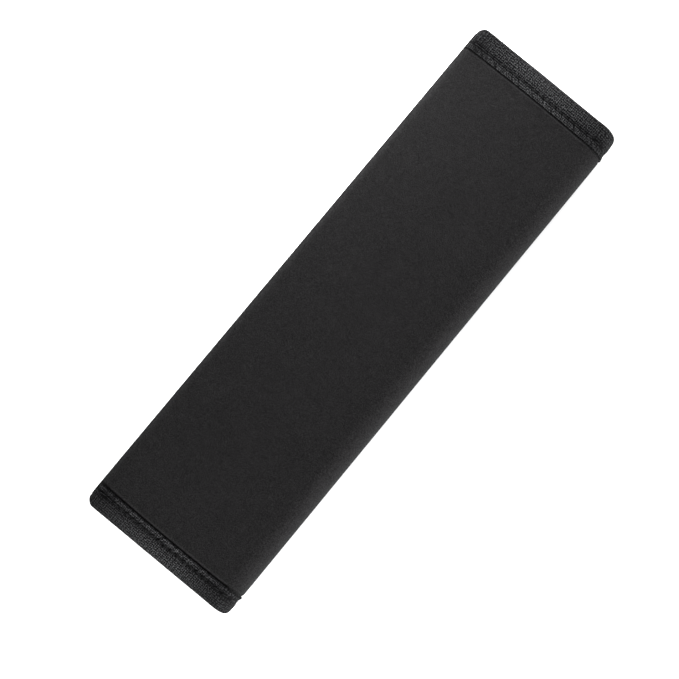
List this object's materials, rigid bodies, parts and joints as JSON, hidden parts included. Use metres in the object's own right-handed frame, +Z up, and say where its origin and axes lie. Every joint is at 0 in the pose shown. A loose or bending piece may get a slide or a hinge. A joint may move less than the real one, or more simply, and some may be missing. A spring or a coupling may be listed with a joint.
{
  "type": "seat belt shoulder pad",
  "caption": "Padded sleeve that wraps round the shoulder strap of a seat belt, folded lengthwise, closed with hook and loop strips and bound with tape at both ends.",
  "frame": {"origin": "middle of the pad's length and width, on the surface that the pad lies on", "axes": "X across the pad, from the open edge at -X to the fold at +X; Y along the pad, with the end at the upper right of the picture at +Y; Z up, with the front face up"},
  "size_m": [0.0754, 0.26, 0.0186],
  "materials": {
    "cover_cloth": "soft black microfibre with a short nap",
    "foam": "open-cell grey foam",
    "lining_cloth": "thin black knitted cloth",
    "binding_tape": "ribbed black woven tape, slightly shiny",
    "thread": "black polyester sewing thread",
    "hook_tape": "black hook tape",
    "loop_tape": "black loop tape"
  },
  "bodies": {
    "root": {"outer_cover": "cover_cloth", "foam_padding": "foam", "inner_lining": "lining_cloth", "upper_binding": "binding_tape", "lower_binding": "binding_tape", "upper_needle_thread": "thread", "upper_bobbin_thread": "thread", "lower_needle_thread": "thread", "lower_bobbin_thread": "thread", "hook_strip": "hook_tape", "loop_strip": "loop_tape", "hook_strip_thread": "thread", "loop_strip_thread": "thread"}
  },
  "joints": []
}
